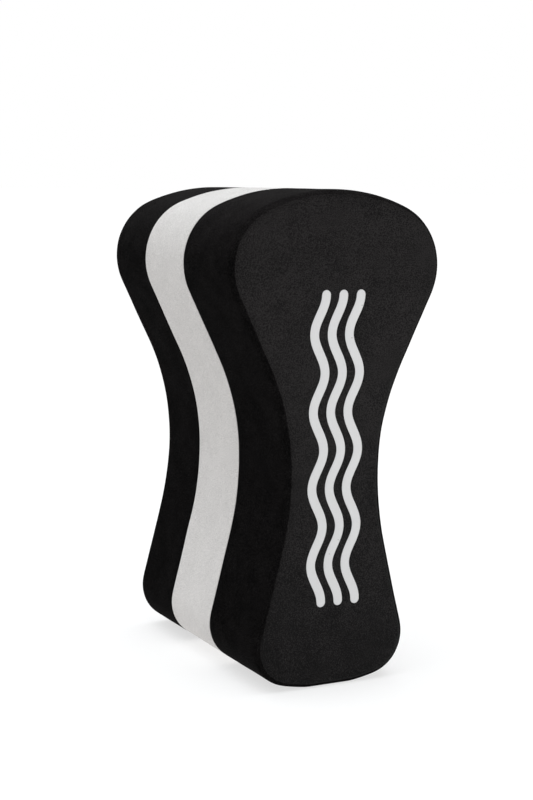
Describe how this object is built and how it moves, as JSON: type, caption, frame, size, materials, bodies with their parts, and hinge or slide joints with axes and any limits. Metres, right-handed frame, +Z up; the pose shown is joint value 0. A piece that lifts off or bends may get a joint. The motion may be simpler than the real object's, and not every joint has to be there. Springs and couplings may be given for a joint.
{
  "type": "pull buoy",
  "caption": "Waisted foam pull buoy in bonded black and white layers, held between a swimmer's thighs, with wavy lines printed on its front face.",
  "frame": {"origin": "middle of the base flat that the buoy stands on, at the bottom centre of its bounding box", "axes": "+Z up the length of the buoy from the narrow lobe to the wide lobe, -Y out of the printed front face, +Y out of the rear face, +X to the right when looking at the front face"},
  "size_m": [0.1134, 0.142, 0.24],
  "materials": {
    "black_foam": "matt closed-cell EVA foam, black",
    "white_foam": "matt closed-cell EVA foam, warm white",
    "adhesive": "dried contact adhesive",
    "printed_lines": "white heat-transfer print"
  },
  "bodies": {
    "root": {"front_foam_layer": "black_foam", "middle_foam_layer": "white_foam", "rear_foam_layer": "black_foam", "front_bond_film": "adhesive", "rear_bond_film": "adhesive", "printed_wave_line_1": "printed_lines", "printed_wave_line_2": "printed_lines", "printed_wave_line_3": "printed_lines"}
  },
  "joints": []
}
